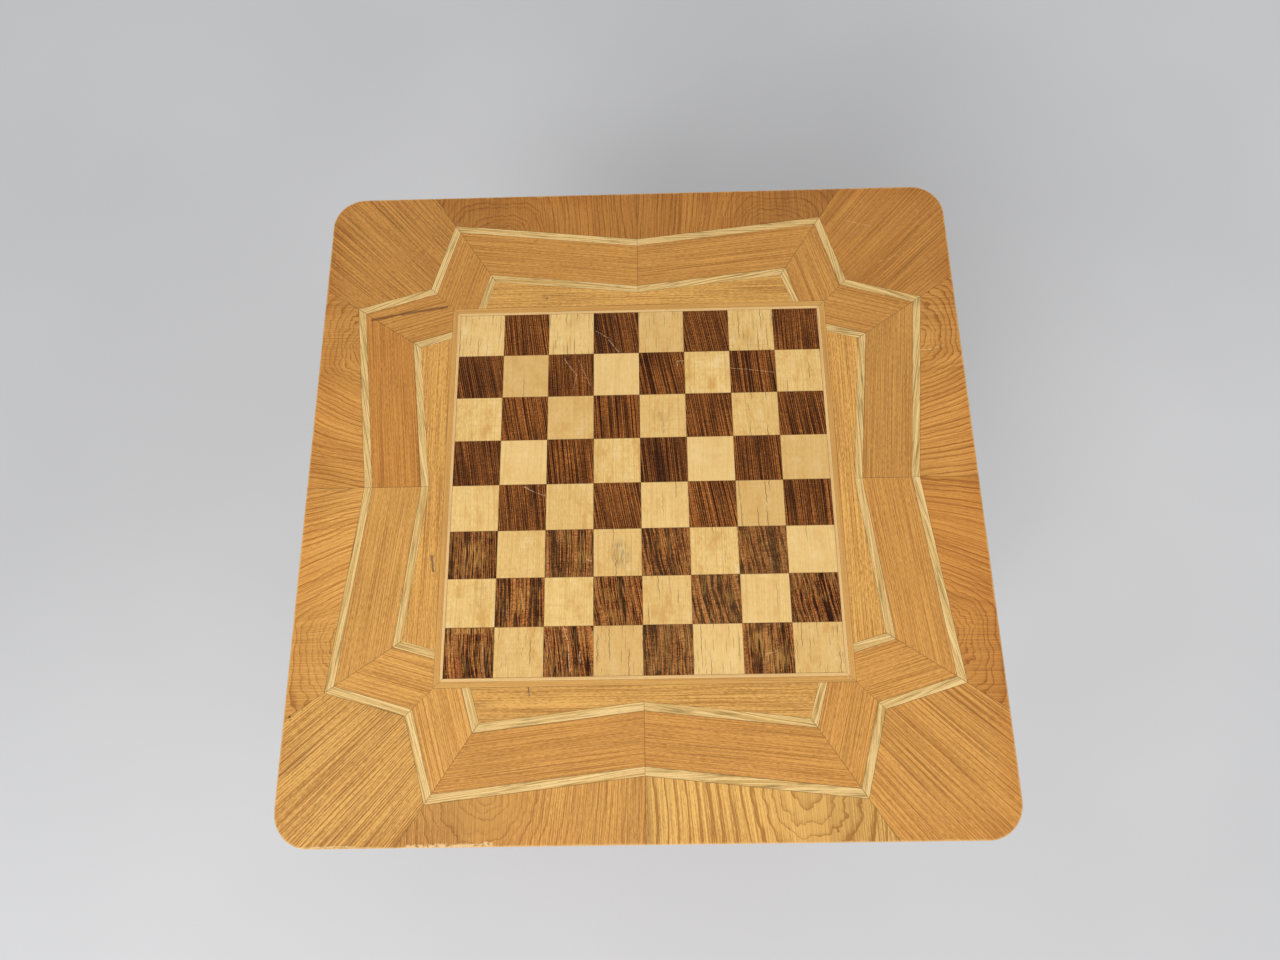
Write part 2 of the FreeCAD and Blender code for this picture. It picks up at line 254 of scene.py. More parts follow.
def start_group(name, inputs, outputs):
    """An empty node group: returns its writer and its input sockets."""
    tree = bpy.data.node_groups.new(name, "ShaderNodeTree")
    kinds = {"Place": "Vector", **dict.fromkeys(("Pale", "Deep", "Dark", "Colour"), "Color")}
    for in_out, labels in (("INPUT", inputs), ("OUTPUT", outputs)):
        for label in labels:
            kind = "NodeSocket" + kinds.get(label, "Float")
            tree.interface.new_socket(label, in_out=in_out, socket_type=kind)
    return Net(tree), tree.nodes.new("NodeGroupInput").outputs


def end_group(net, **results):
    """Joins a group's results to its outputs."""
    net.fill(net.tree.nodes.new("NodeGroupOutput"), results)


# Square: where a point lies in its own square, in mm, and three numbers that each square keeps.
net, given = start_group("Square", ["Place"], ["X", "Y", "Edge", "Row", "A", "B", "C"])
flat = net.millimetres(given["Place"])
steps = [net.over(net.plus(flat[i], SQUARES_HALF), SQUARE_SIDE) for i in (0, 1)]
cells = [net.math("FLOOR", step) for step in steps]
inner = [net.times(net.minus(net.minus(step, cell), 0.5), SQUARE_SIDE)
         for step, cell in zip(steps, cells)]
reach = net.larger(net.absolute(inner[0]), net.absolute(inner[1]))
chance = net.node("TexWhiteNoise", {0: net.vector(cells[0], cells[1], 3.0)})[1]
chance = net.node("SeparateColor", {0: chance})
end_group(net, X=inner[0], Y=inner[1], Edge=net.minus(SQUARE_SIDE / 2, reach),
          Row=cells[1], A=chance[0], B=chance[1], C=chance[2])

# Grain: U runs across the fibres, V along them and W through the board, in mm. Bend is how far
# the growth rings are from running straight along the fibres, and Short the share of short flecks.
net, given = start_group("Grain", ["U", "V", "W", "Bend", "Seed", "Spacing", "Wander", "Short"],
                         ["Rings", "Fibre", "Pores", "Drift"])
seed = net.times(given["Seed"], 13.7)


def stretched(place, across, along, shift=seed):
    """The place in steps of so many mm across and along the grain, moved by the seed."""
    steps = (1 / across, 1 / across, 1 / along)
    return net.vectors("MULTIPLY_ADD", place, steps, net.vector(0.0, 0.0, shift))


place = net.vector(given["U"], given["W"], given["V"])
slow = net.minus(net.noise(stretched(place, 60.0, 130.0), 1.0), 0.5)
quick = net.minus(net.noise(stretched(place, 18.0, 90.0), 1.0), 0.5)
sway = net.line(slow, 2.4, net.times(quick, 0.9))
across = net.line(sway, given["Wander"], given["U"])
ring = net.over(net.plus(across, given["Bend"]), given["Spacing"])
drawn = net.over(given["V"], 700.0)
bands = net.noise(net.vector(net.times(ring, 0.4), seed, drawn), 3.0, 0.6)
bands = net.step(bands, 0.32, 0.68)
uneven = net.noise(net.vector(net.times(ring, 0.5), drawn, seed), 1.0)
year = net.plus(uneven, ring)
vigour = net.node("TexWhiteNoise", {0: net.vector(net.math("FLOOR", year), seed, 0.0)})[0]
late = net.math("POWER", net.math("FRACT", year), 6.0)
late = net.times(late, net.line(vigour, 0.7, 0.25))
rings = net.line(bands, 0.1, late)
place = net.vector(across, given["W"], given["V"])
threads = net.noise(stretched(place, 1.0, 150.0), 2.0, 0.6)
flecks = net.noise(stretched(place, 0.8, 5.0), 1.0)
flecks = net.times(net.minus(flecks, threads), given["Short"])
fibre = net.step(net.plus(threads, flecks), 0.34, 0.66)
spots = net.node("TexVoronoi", {"Vector": stretched(place, 0.8, 4.0), "Scale": 1.0})[0]
vessels = net.noise(net.vectors("ADD", stretched(place, 1.1, 90.0), (0.0, 0.0, 7.3)), 1.0)
pores = net.times(net.step(spots, 0.4, 0.16), 0.6)
pores = net.larger(pores, net.step(vessels, 0.58, 0.7))
end_group(net, Rings=rings, Fibre=fibre, Pores=pores,
          Drift=net.noise(stretched(place, 40.0, 55.0, given["Seed"]), 1.0))

# Tone: colours a grain from pale to deep, with dark pores, under a thin satin lacquer.
net, given = start_group("Tone", ["Rings", "Fibre", "Pores", "Drift", "Pale", "Deep", "Dark",
                                  "Figure", "Thread", "Open", "Depth"],
                         ["Colour", "Height", "Rough"])
depth = net.times(net.minus(given["Rings"], 0.2), given["Figure"])
depth = net.times(depth, 1.6)
fine = net.minus(given["Fibre"], 0.5)
depth = net.plus(depth, net.times(fine, given["Thread"]))
cloud = net.line(given["Figure"], 0.35, 0.35)
depth = net.plus(depth, net.line(given["Drift"], cloud, given["Depth"]))
pores = net.times(given["Pores"], given["Open"])
colour = net.mix(net.node("Clamp", {0: depth})[0], given["Pale"], given["Deep"])
height = net.line(fine, 0.12, net.line(pores, -0.6, 0.8))
rough = net.line(pores, 0.2, net.step(given["Drift"], 0.3, 0.7, 0.4, 0.48))
end_group(net, Colour=net.mix(pores, colour, given["Dark"]), Height=height, Rough=rough)


def wood(net, u, v, colours, seed, w=0.0, bend=0.0, spacing=4.0, wander=3.0, short=0.3,
         figure=0.8, thread=0.5, open_pores=0.5, depth=0.2):
    """Colour, height and roughness of a wood, its colours pale, deep and pore."""
    grain = net.group("Grain", U=u, V=v, W=w, Bend=bend, Seed=seed, Spacing=spacing,
                      Wander=wander, Short=short)
    pale, deep, pore = [srgb(*colour) for colour in colours]
    toned = net.group("Tone", Rings=grain["Rings"], Fibre=grain["Fibre"], Pores=grain["Pores"],
                      Drift=grain["Drift"], Pale=pale, Deep=deep, Dark=pore, Figure=figure,
                      Thread=thread, Open=open_pores, Depth=depth)
    return toned["Colour"], toned["Height"], toned["Rough"]


def strokes_group(name, strokes):
    """Soft worn strokes: each from one point to another in mm, half-width and strength."""
    net, given = start_group(name, ["Place"], ["Mask"])
    flat = net.vectors("MULTIPLY", given["Place"], (1000.0, 1000.0, 0.0))
    ruffle = net.node("TexNoise", {"Vector": flat, "Scale": 0.25, "Detail": 3.0})[1]
    ruffle = net.vectors("MULTIPLY", net.vectors("SUBTRACT", ruffle, (0.5,) * 3), (2, 2, 0))
    mask = 0.0
    for x0, y0, x1, y1, half, strength in strokes:
        run = (x1 - x0, y1 - y0, 0.0)
        share = [value / (run[0] ** 2 + run[1] ** 2) for value in run]
        start = net.vectors("SUBTRACT", net.vectors("ADD", flat, ruffle), (x0, y0, 0.0))
        along = net.node("Clamp", {0: net.vectors("DOT_PRODUCT", start, share)})[0]
        near = net.node("VectorMath", {0: run, 3: along}, operation="SCALE")[0]
        off = net.vectors("DISTANCE", start, near)
        mask = net.larger(mask, net.step(off, half, 0.3 * half, 0.0, strength))
    end_group(net, Mask=mask)


strokes_group("Square scratches", (
    (-75, 131, -62, 112, 0.5, 0.6), (-62, 112, -66, 95, 0.4, 0.5), (-60, 128, -48, 100, 0.4, 0.5),
    (-43, 160, -30, 152, 0.4, 0.5), (-30, 150, -20, 136, 0.5, 0.6), (-92, 143, -80, 141, 0.4, 0.4),
    (80, 118, 133, 111, 0.35, 0.5), (38, 125, 45, 125, 0.5, 0.6), (38, 125, 38, 120, 0.5, 0.6),
    (-112, -2, -101, -8, 0.4, 0.5), (-101, -8, -91, -11, 0.4, 0.5),
    (-72, -136, -68, -150, 0.6, 0.7), (-68, -150, -66, -175, 0.5, 0.8),
    (-57, -158, -57, -168, 0.5, 0.7), (-86, -140, -86, -164, 0.4, 0.4),
    (-145, -150, -145, -174, 0.4, 0.5), (-51, -74, -47, -75, 0.6, 0.7),
    (-46, -140, -44, -152, 0.4, 0.4), (120, -160, 110, -163, 0.8, 0.5),
))
strokes_group("Square stains", (
    (-21, -66, -20, -72, 14.0, 0.55), (-149, -100, -152, -112, 8.0, 0.2),
    (108, 146, 112, 144, 8.0, 0.2), (20, 70, 23, 52, 3.0, 0.35),
))
strokes_group("Square wear", (
    (-160, -66, -153, -70, 15.0, 0.95), (-176, -138, -146, -138, 4.0, 1.0),
    (-176, -138, -174, -172, 3.0, 0.7), (-112, -102, -110, -118, 2.6, 1.0),
    (-40, -66, -58, -72, 9.0, 0.8), (104, -150, 118, -168, 14.0, 0.8),
))


def dress(material, *names):
    """Gives the CAD nodes with these names this material."""
    for name in names:
        for slot in frame["nodes"][name].material_slots:
            slot.material = material


def streaks(net, across, along, sizes, seed, *settings):
    """Noise in patches of so many mm across and along the grain."""
    place = net.vector(net.over(across, sizes[0]), net.over(along, sizes[1]), seed)
    return net.noise(place, *settings)


def cracks(net, across, along, seed, lot_sizes, sway, widths, ends):
    """At most one crack in each lot of veneer, and a number that each lot keeps. The lot is in
    mm, and the sway, widths and ends of its crack are shares of it."""
    lot = net.vector(net.over(across, lot_sizes[0]), net.over(along, lot_sizes[1]), seed)
    cell = net.node("TexVoronoi", {"Vector": lot, "Scale": 1.0})
    spread = net.node("SeparateXYZ", {0: net.vectors("SUBTRACT", lot, cell["Position"])})
    bend = net.noise(net.vector(0.0, net.over(along, 5.0), seed))
    side = net.line(net.minus(bend, 0.5), sway, spread[0])
    crack = net.times(net.step(net.absolute(side), *widths),
                      net.step(net.absolute(spread[1]), *ends))
    return crack, net.node("SeparateColor", {0: cell["Color"]})[0]


# The light squares: even, with faint threads, and thin cracks that follow the grain.
material, net, place = new_material("sycamore_squares")
square = net.group("Square", Place=place)
seed = net.times(square["B"], 40.0)
tilt = net.times(net.minus(square["A"], 0.5), 0.08)
across = net.line(square["Y"], tilt, square["X"])
colour, height, rough = wood(
    net, across, square["Y"], LIGHT_SQUARE, seed, spacing=5.0, short=0.5, figure=0.4, thread=0.8,
    open_pores=0.2)
cloud = net.patches(place, (85.0, 45.0, 1.0), 4.0, 0.65)
colour = net.mix(net.step(cloud, 0.5, 0.7, 0.0, 0.9), colour, HONEY_CLOUD)
colour = net.mix(net.step(cloud, 0.46, 0.3, 0.0, 0.7), colour, CREAM_CLOUD)
ripple = streaks(net, across, square["Y"], (16.0, 2.6), seed)
colour = net.mix(net.step(ripple, 0.48, 0.7, 0.0, 0.3), colour, RIPPLE_COLOUR)
from_middle = net.absolute(net.minus(square["Row"], 3.5))
crack, luck = cracks(net, across, square["Y"], seed, (12.0, 44.0), 0.26, (0.036, 0.012), (0.4, 0.15))
luck = net.line(square["A"], 0.7, net.times(luck, 0.6))
luck = net.plus(luck, net.step(from_middle, 2.4, 3.4, 0.0, 0.35))
crack = net.times(crack, net.step(luck, 0.75, 0.95))
hair, luck = cracks(net, across, square["Y"], seed, (3.6, 17.0), 0.6, (0.1, 0.03), (0.45, 0.15))
hair = net.times(hair, net.step(luck, 0.45, 0.8))
crack = net.larger(crack, net.times(hair, net.step(from_middle, 2.9, 3.3, 0.1, 0.7)))
colour = net.mix(net.step(square["C"], 0.35, 1.0, 0.0, 0.6), colour, WARM_SYCAMORE)
colour = net.mix(net.step(square["C"], 0.4, 0.0, 0.0, 0.5), colour, PALE_SYCAMORE)
stain = net.group("Square stains", Place=place)["Mask"]
mottle = net.step(net.patches(place, (900.0, 160.0, 1.0)), 0.35, 0.65)
colour = net.mix(net.times(stain, mottle), colour, STAIN_COLOUR)
colour = net.mix(net.times(crack, 0.8), colour, CRACK_COLOUR)
colour = net.mix(net.step(square["Edge"], 0.7, 0.1, 0.0, 0.4), colour, SQUARE_GRIME)
surface(net, colour, rough, net.minus(height, crack), 0.00005)
dress(material, "light_squares")

# The dark squares: streaks that lean a few degrees, a different way in each square.
material, net, place = new_material("walnut_squares")
square = net.group("Square", Place=place)
seed = net.times(square["B"], 40.0)
tilt = net.step(square["A"], 0.0, 1.0, 0.02, 0.2)
across = net.line(square["Y"], tilt, square["X"])
near = net.step(square["Row"], 3.3, 1.7)
wander = net.line(near, 4.0, 1.5)
figure = net.line(near, 1.3, 0.9)
thread = net.line(near, 2.0, 1.0)
colour, height, rough = wood(
    net, across, square["Y"], DARK_SQUARE, seed, spacing=2.0, wander=wander, short=0.1,
    figure=figure, thread=thread, depth=0.08)
wave = streaks(net, across, square["Y"], (40.0, 34.0), seed, 1.0)
across = net.plus(across, net.times(net.minus(wave, 0.5), net.times(near, 8.0)))
streak = streaks(net, across, square["Y"], (6.0, 70.0), seed, 4.0, 0.6)
lines = streaks(net, across, square["Y"], (2.6, 60.0), seed, 2.0)
orange = net.times(net.step(streak, 0.54, 0.64), net.line(near, 0.65, 0.05))
colour = net.mix(orange, colour, ORANGE_STREAK)
gloom = net.times(net.step(streak, 0.47, 0.36), net.step(near, 0.0, 1.0, 0.4, 0.8))
gloom = net.larger(gloom, net.times(net.step(lines, 0.53, 0.6), near))
colour = net.mix(gloom, colour, BLACK_STREAK)
bright = net.times(net.step(lines, 0.43, 0.36), net.times(near, 0.5))
colour = net.mix(bright, colour, BRIGHT_LINE)
olive = net.times(net.step(square["C"], 0.6, 0.1), near)
colour = net.mix(net.times(olive, 0.2), colour, OLIVE_WALNUT)
colour = net.mix(net.step(square["C"], 0.5, 1.0, 0.0, 0.25), colour, DIM_WALNUT)
dust = net.patches(place, (650.0, 800.0, 1.0), 2.0, 0.6)
scuffs = net.patches(place, (120.0, 1000.0, 1.0), 2.0)
dusty = net.line(near, 0.2, 0.8)
colour = net.mix(dusty, colour, net.mix(net.step(dust, 0.3, 0.7), *DUST_SHADES), "MULTIPLY")
colour = net.mix(dusty, colour, net.mix(net.step(scuffs, 0.3, 0.7), *SCUFF_SHADES), "MULTIPLY")
patchy = net.step(net.patches(place, 70.0, 3.0), 0.4, 0.62)
worn = net.patches(place, (1300.0, 70.0, 1.0), 3.0)
rubbed = net.times(net.times(patchy, near), 0.4)
rubbed = net.larger(rubbed, net.group("Square wear", Place=place)["Mask"])
worn = net.times(net.step(worn, 0.44, 0.6), rubbed)
colour = net.mix(worn, colour, WORN_WALNUT)
scratch = net.group("Square scratches", Place=place)["Mask"]
fade = net.step(net.patches(place, 400.0, 3.0), 0.32, 0.54)
scratch = net.times(scratch, fade)
colour = net.mix(scratch, colour, SCRATCH_COLOUR)
colour = net.mix(net.step(square["Edge"], 0.5, 0.1, 0.0, 0.3), colour, WALNUT_EDGE)
rough = net.line(worn, 0.1, rough)
surface(net, colour, rough, net.minus(height, scratch), 0.00006, sheen=0.1)
dress(material, "dark_squares")


# ---- Board line and banding ----
# A pale line of four mitred strips holds the squares together, and a wider orange banding frames
# it, its grain along its strips. Both are laid in the same thickness as the squares.
LINE_OUT = SQUARES_HALF + 3.0
LINE_WOOD = ((240, 198, 132), (214, 168, 106), (164, 116, 64))
BANDING_WOOD = ((220, 168, 91), (192, 135, 66), (140, 90, 42))
GLUE_COLOUR = srgb(120, 80, 42)
BOARD_HALF = 188.2
STAR_TIP = (190.5, 285.57)
STAR_NOTCH = (0.0, 264.57)
STAR_CORNER = (212.0, 212.0)

# Plan: a point of the top folded into one eighth of it, in mm. Across and Out are from the
# middle of the nearest side, Reach and Skew along and across the nearest diagonal, and the
# In and Run of the star's long and short edges are the distances inside and along them. StarIn
# is the distance inside the star, and Mitre is 0 where its long and short leaves meet.
net, given = start_group("Plan", ["Place"], [
    "Across", "Signed", "Out", "Side", "Half", "Reach", "Skew", "Corner",
    "LongIn", "LongRun", "ShortIn", "ShortRun", "StarIn", "Mitre",
])
x, y, z = net.millimetres(given["Place"])
wide = net.absolute(x)
deep = net.absolute(y)
turned = net.math("GREATER_THAN", wide, deep)
out = net.larger(wide, deep)
across = net.smaller(wide, deep)
right = net.math("SIGN", x)
back = net.math("SIGN", y)
on_sides = net.times(y, right)
on_ends = net.times(net.times(x, back), -1.0)
signed = net.node("Mix", {0: turned, 2: on_ends, 3: on_sides})[0]
side = net.node("Mix", {0: turned, 2: net.plus(1.0, back), 3: net.minus(2.0, right)})[0]
corner = net.line(back, 2.0, right)
reach = net.times(net.plus(wide, deep), math.sqrt(0.5))
skew = net.times(net.minus(wide, deep), math.sqrt(0.5))
edges = []
for start, end in ((STAR_NOTCH, STAR_TIP), (STAR_TIP, STAR_CORNER)):
    length = math.dist(start, end)
    run = [(b - a) / length for a, b in zip(start, end)]
    from_start = (net.minus(across, start[0]), net.minus(out, start[1]))
    along = [net.times(value, share) for value, share in zip(from_start, run)]
    inward = [net.times(value, share)
              for value, share in zip(from_start, (run[1], -run[0]))]
    edges += [net.plus(*inward), net.plus(*along)]
end_group(net, Across=across, Signed=signed, Out=out, Side=side,
          Half=net.math("GREATER_THAN", signed, 0.0), Reach=reach, Skew=skew, Corner=corner,
          LongIn=edges[0], LongRun=edges[1], ShortIn=edges[2], ShortRun=edges[3],
          StarIn=net.smaller(edges[0], edges[2]), Mitre=net.minus(edges[0], edges[2]))


def seam(net, distance, half, strength):
    """The thin glue line of a joint, from the distance to it."""
    return net.step(net.absolute(distance), half, 0.25 * half, 0.0, strength)


def seams(net, plan, *joints):
    """The glue lines of several joints. Each is a measure of the plan, the place of the joint in
    it in mm, and the line's half-width and strength."""
    most = 0.0
    for measure, joint, half, strength in joints:
        line = seam(net, net.minus(plan[measure], joint), half, strength)
        most = net.larger(most, line)
    return most


def glued(net, colour, rough, height, joints, depth=0.00005):
    """Ends the material of a leaf that has glue in its joints."""
    surface(net, net.mix(joints, colour, GLUE_COLOUR), rough, net.minus(height, joints), depth)


for name, node, edge_in, edge_out, colours in (
    ("maple_line", "board_line", SQUARES_HALF, LINE_OUT, LINE_WOOD),
    ("orange_banding", "board_banding", LINE_OUT, BOARD_HALF, BANDING_WOOD),
):
    material, net, place = new_material(name)
    plan = net.group("Plan", Place=place)
    colour, height, rough = wood(
        net, plan["Out"], plan["Signed"], colours, plan["Side"], spacing=1.6, wander=0.8,
        figure=0.5, thread=0.7, open_pores=0.3)
    joints = seams(net, plan, ("Out", edge_in, 0.35, 0.3), ("Out", edge_out, 0.35, 0.25),
                   ("Skew", 0.0, 0.3, 0.5))
    dirt = net.step(net.patches(place, 60.0, 2.0), 0.3, 0.7)
    glued(net, colour, rough, height, net.times(joints, dirt))
    dress(material, node)


# ---- Field leaves ----
# Four leaves of orange-brown veneer fill the star between the board and the inner stringing,
# each with its grain along its side of the board and fine dark pores.
SIDES = ("front", "right", "back", "left")
CORNERS = ("front_right", "back_right", "back_left", "front_left")
STRINGING_WIDTH = 7.6
BAND_INNER = 54.0
FIELD_OUT = BAND_INNER + STRINGING_WIDTH
VENEER = ((226, 169, 88), (166, 110, 44), (136, 86, 38))
FIELD_MARK = srgb(92, 78, 66)
FIELD_TONES = {"front": (1.09, -0.03), "right": (1.19, -0.03), "back": (1.14, -0.04),
               "left": (1.12, -0.01)}


def tone(lightness, redness):
    """What a leaf's colour is multiplied by: one flitch was never quite even."""
    return (lightness * (1 + redness), lightness, lightness * (1 - redness), 1.0)


def either_half(net, plan, first, second):
    """A number that differs between the two leaves of a pair."""
    return net.line(plan["Half"], second - first, first)


strokes_group("Field marks", (
    (-196, -68, -194, -82, 1.6, 0.8), (-103, -186, -102, -195, 1.0, 0.8),
    (-93, 198, -92.5, 198, 1.2, 0.9), (-210, 60, -213, 48, 0.6, 0.4),
))

for side_name in SIDES:
    material, net, place = new_material("field_veneer_" + side_name)
    plan = net.group("Plan", Place=place)
    colour, height, rough = wood(
        net, plan["Out"], plan["Signed"], VENEER, plan["Side"], spacing=2.4, wander=0.8, short=0.35,
        figure=0.35, thread=1.2, open_pores=0.7)
    colour = net.mix(1.0, colour, tone(*FIELD_TONES[side_name]), "MULTIPLY")
    colour = net.mix(net.group("Field marks", Place=place)["Mask"], colour, FIELD_MARK)
    glued(net, colour, rough, height, seams(
        net, plan,
        ("Out", BOARD_HALF, 0.5, 0.25),
        ("StarIn", FIELD_OUT, 0.4, 0.35),
    ))
    dress(material, "field_leaf_" + side_name)


# ---- Star stringing ----
# Two lines of pale olive ash, 7.6 mm wide and mitred at every point, outline the star. Each
# strip was cut a few degrees off its grain, so its grey-olive streaks run out at the edges.
STRINGING_WOOD = ((243, 207, 141), (200, 156, 82), (146, 118, 68))
OLIVE_STREAK = srgb(148, 116, 58)

for where, inward, run in (("long", "LongIn", "LongRun"), ("short", "ShortIn", "ShortRun")):
    material, net, place = new_material("ash_stringing_" + where)
    plan = net.group("Plan", Place=place)
    piece = net.line(plan["Side"], 2.0, plan["Half"])
    inner = net.math("GREATER_THAN", plan[inward], 30.0)
    piece = net.line(inner, 9.0, piece)
    chance = net.node("TexWhiteNoise", {1: piece}, noise_dimensions="1D")
    slant = net.step(chance[0], 0.0, 1.0, -0.12, 0.12)
    across = net.line(plan[run], slant, plan[inward])
    colour, height, rough = wood(
        net, across, plan[run], STRINGING_WOOD, piece, wander=2.5, short=0.15, thread=1.1,
        open_pores=0.3)
    streak = streaks(net, across, plan[run], (1.5, 42.0), piece, 3.0, 0.6)
    colour = net.mix(net.step(streak, 0.52, 0.64, 0.0, 0.75), colour, OLIVE_STREAK)
    glued(net, colour, rough, height, seams(
        net, plan,
        ("StarIn", 0.0, 0.45, 0.4),
        ("StarIn", STRINGING_WIDTH, 0.45, 0.4),
        ("StarIn", BAND_INNER, 0.45, 0.4),
        ("Mitre", 0.0, 0.6, 0.6),
        ("Across", 0.0, 0.35, 0.5),
        ("Skew", 0.0, 0.35, 0.5),
    ))
    if where == "long":
        dress(material, *["outer_stringing_" + side for side in SIDES])
        dress(material, *["inner_stringing_" + side for side in SIDES])
    else:
        dress(material, *["outer_stringing_" + corner for corner in CORNERS])
        dress(material, "inner_stringing_stubs")


# ---- Star band ----
# Sixteen leaves of the same veneer between the two lines, each with its grain along its own
# edge of the star, mitred at the points and butted at the middle of every side.
BAND_TONES = {
    "front": ((0.87, 0.09), (0.89, 0.09)), "right": ((0.93, 0.07), (0.865, 0.05)),
    "back": ((0.86, 0.09), (0.86, 0.09)), "left": ((0.755, 0.19), (1.01, 0.01)),
    "front_right": (0.98, 0.06), "back_right": (0.88, 0.08), "back_left": (0.82, 0.10),
    "front_left": (1.05, 0.02),
}
BAND_MARK = srgb(96, 58, 30)
strokes_group("Band marks", (
    (-271, 178, -240, 184, 1.6, 0.7), (-240, 184, -195, 191, 2.2, 0.7),
    (-176, 276, -175.5, 276, 1.2, 0.9), (-180, -277, -179.5, -277, 1.2, 0.9),
    (-237, -120, -236, -121, 1.2, 0.3),
))

for name in (*SIDES, *CORNERS):
    long_leaf = name in SIDES
    inward, run = ("LongIn", "LongRun") if long_leaf else ("ShortIn", "ShortRun")
    material, net, place = new_material("band_veneer_" + name)
    plan = net.group("Plan", Place=place)
    piece = net.line(plan["Side"], 2.0, plan["Half"])
    figure, spacing = (0.15, 2.0) if long_leaf else (0.45, 3.4)
    colour, height, rough = wood(
        net, plan[inward], plan[run], VENEER, piece, spacing=spacing, wander=0.7, short=0.35,
        figure=figure, thread=1.0, open_pores=0.45)
    if long_leaf:
        shade = net.mix(plan["Half"], *[tone(*leaf) for leaf in BAND_TONES[name]])
    else:
        shade = tone(*BAND_TONES[name])
    colour = net.mix(1.0, colour, shade, "MULTIPLY")
    colour = net.mix(net.group("Band marks", Place=place)["Mask"], colour, BAND_MARK)
    glued(net, colour, rough, height, seams(
        net, plan,
        ("StarIn", STRINGING_WIDTH, 0.45, 0.5),
        ("StarIn", BAND_INNER, 0.45, 0.5),
        ("Mitre", 0.0, 0.6, 0.45),
        ("Across", 0.0, 0.4, 0.6),
        ("Skew", 0.0, 0.35, 0.3),
        ("Out", BOARD_HALF, 0.5, 0.25),
    ))
    dress(material, "star_band_" + name)


# ---- Border leaves ----
# Two book-matched leaves on each side, their grain running out to the edge and round a crown
# near each point of the star, and one leaf in each corner with its grain along the diagonal.
# The outer edge is rubbed pale, and chipped along the left half of the near side.
TOP_HALF = 319.97
CORNER_RADIUS = 32.0
CROWN_SPREAD = 52.0
CROWNS = {  # across, out, length, lean, stretch past it, thread, ring spacing of both leaves
    "front": (137.0, 274.0, 1.35, 0.12, 0.8, 1.1, (6.0, 9.0)),
    "right": (143.0, 272.0, 0.95, 0.4, 0.65, 0.75, (5.0, 5.0)),
    "back": (140.0, 268.0, 1.0, 0.1, 0.8, 0.9, (5.0, 5.0)),
    "left": (143.0, 272.0, 0.95, 0.45, 0.65, 0.8, (4.6, 5.0)),
}
BORDER_TONES = {
    "front": ((0.99, 0.03), (1.26, -0.09)), "right": ((0.80, 0.20), (0.92, 0.11)),
    "back": ((0.60, 0.23), (0.61, 0.23)), "left": ((0.93, 0.10), (1.10, 0.03)),
    "front_right": (0.94, 0.07), "back_right": (0.71, 0.17), "back_left": (0.79, 0.10),
    "front_left": (1.09, -0.04),
}
BORDER_FIGURE = {
    "front": (0.65, 1.5), "right": (0.85, 1.25), "back": (0.75, 0.85), "left": (0.95, 0.95),
    "front_right": (0.5, 1.1), "back_right": (0.25, 0.9), "back_left": (0.4, 1.2),
    "front_left": (0.7, 1.5),
}
CORNER_LEAF_LINES = 3.8
RIM_RED = (0.93, 0.85, 0.76, 1.0)
RUBBED_COLOUR = srgb(226, 182, 120)
CHIPPED_COLOUR = srgb(230, 194, 140)
PIN_COLOUR = srgb(60, 40, 26)

strokes_group("Border marks", (
    (214, 282, 243, 273, 0.5, 0.5), (247, 231, 277, 242, 0.5, 0.5),
    (220, 262, 250, 284, 0.4, 0.4), (278, 131, 290, 132, 0.8, 0.7),
    (290, 132, 304, 137, 0.7, 0.6), (-300, -319, -248, -318, 0.9, 0.9),
    (-207, -319.5, -170, -318.5, 2.6, 1.0), (-170, -319, -131, -318, 1.8, 1.0),
    (-137, -316.5, -131, -317, 1.8, 1.0),
))
strokes_group("Border pins", ((-315, -211, -314.5, -211, 1.5, 0.9),
                              (-314, -214, -313, -213, 0.8, 0.6)))

# Rim: the distance in mm to the rounded outline of the top.
net, given = start_group("Rim", ["Place"], ["Distance"])
flat = net.vectors("ABSOLUTE", net.vectors("MULTIPLY", given["Place"], (1000.0, 1000.0, 0.0)))
inner = TOP_HALF - CORNER_RADIUS
past = net.vectors("SUBTRACT", flat, (inner, inner, 0.0))
beyond = net.vectors("LENGTH", net.vectors("MAXIMUM", past, (0.0, 0.0, 0.0)))
x, y, z = net.node("SeparateXYZ", {0: past})
nearest = net.smaller(net.larger(x, y), 0.0)
end_group(net, Distance=net.minus(CORNER_RADIUS, net.plus(beyond, nearest)))

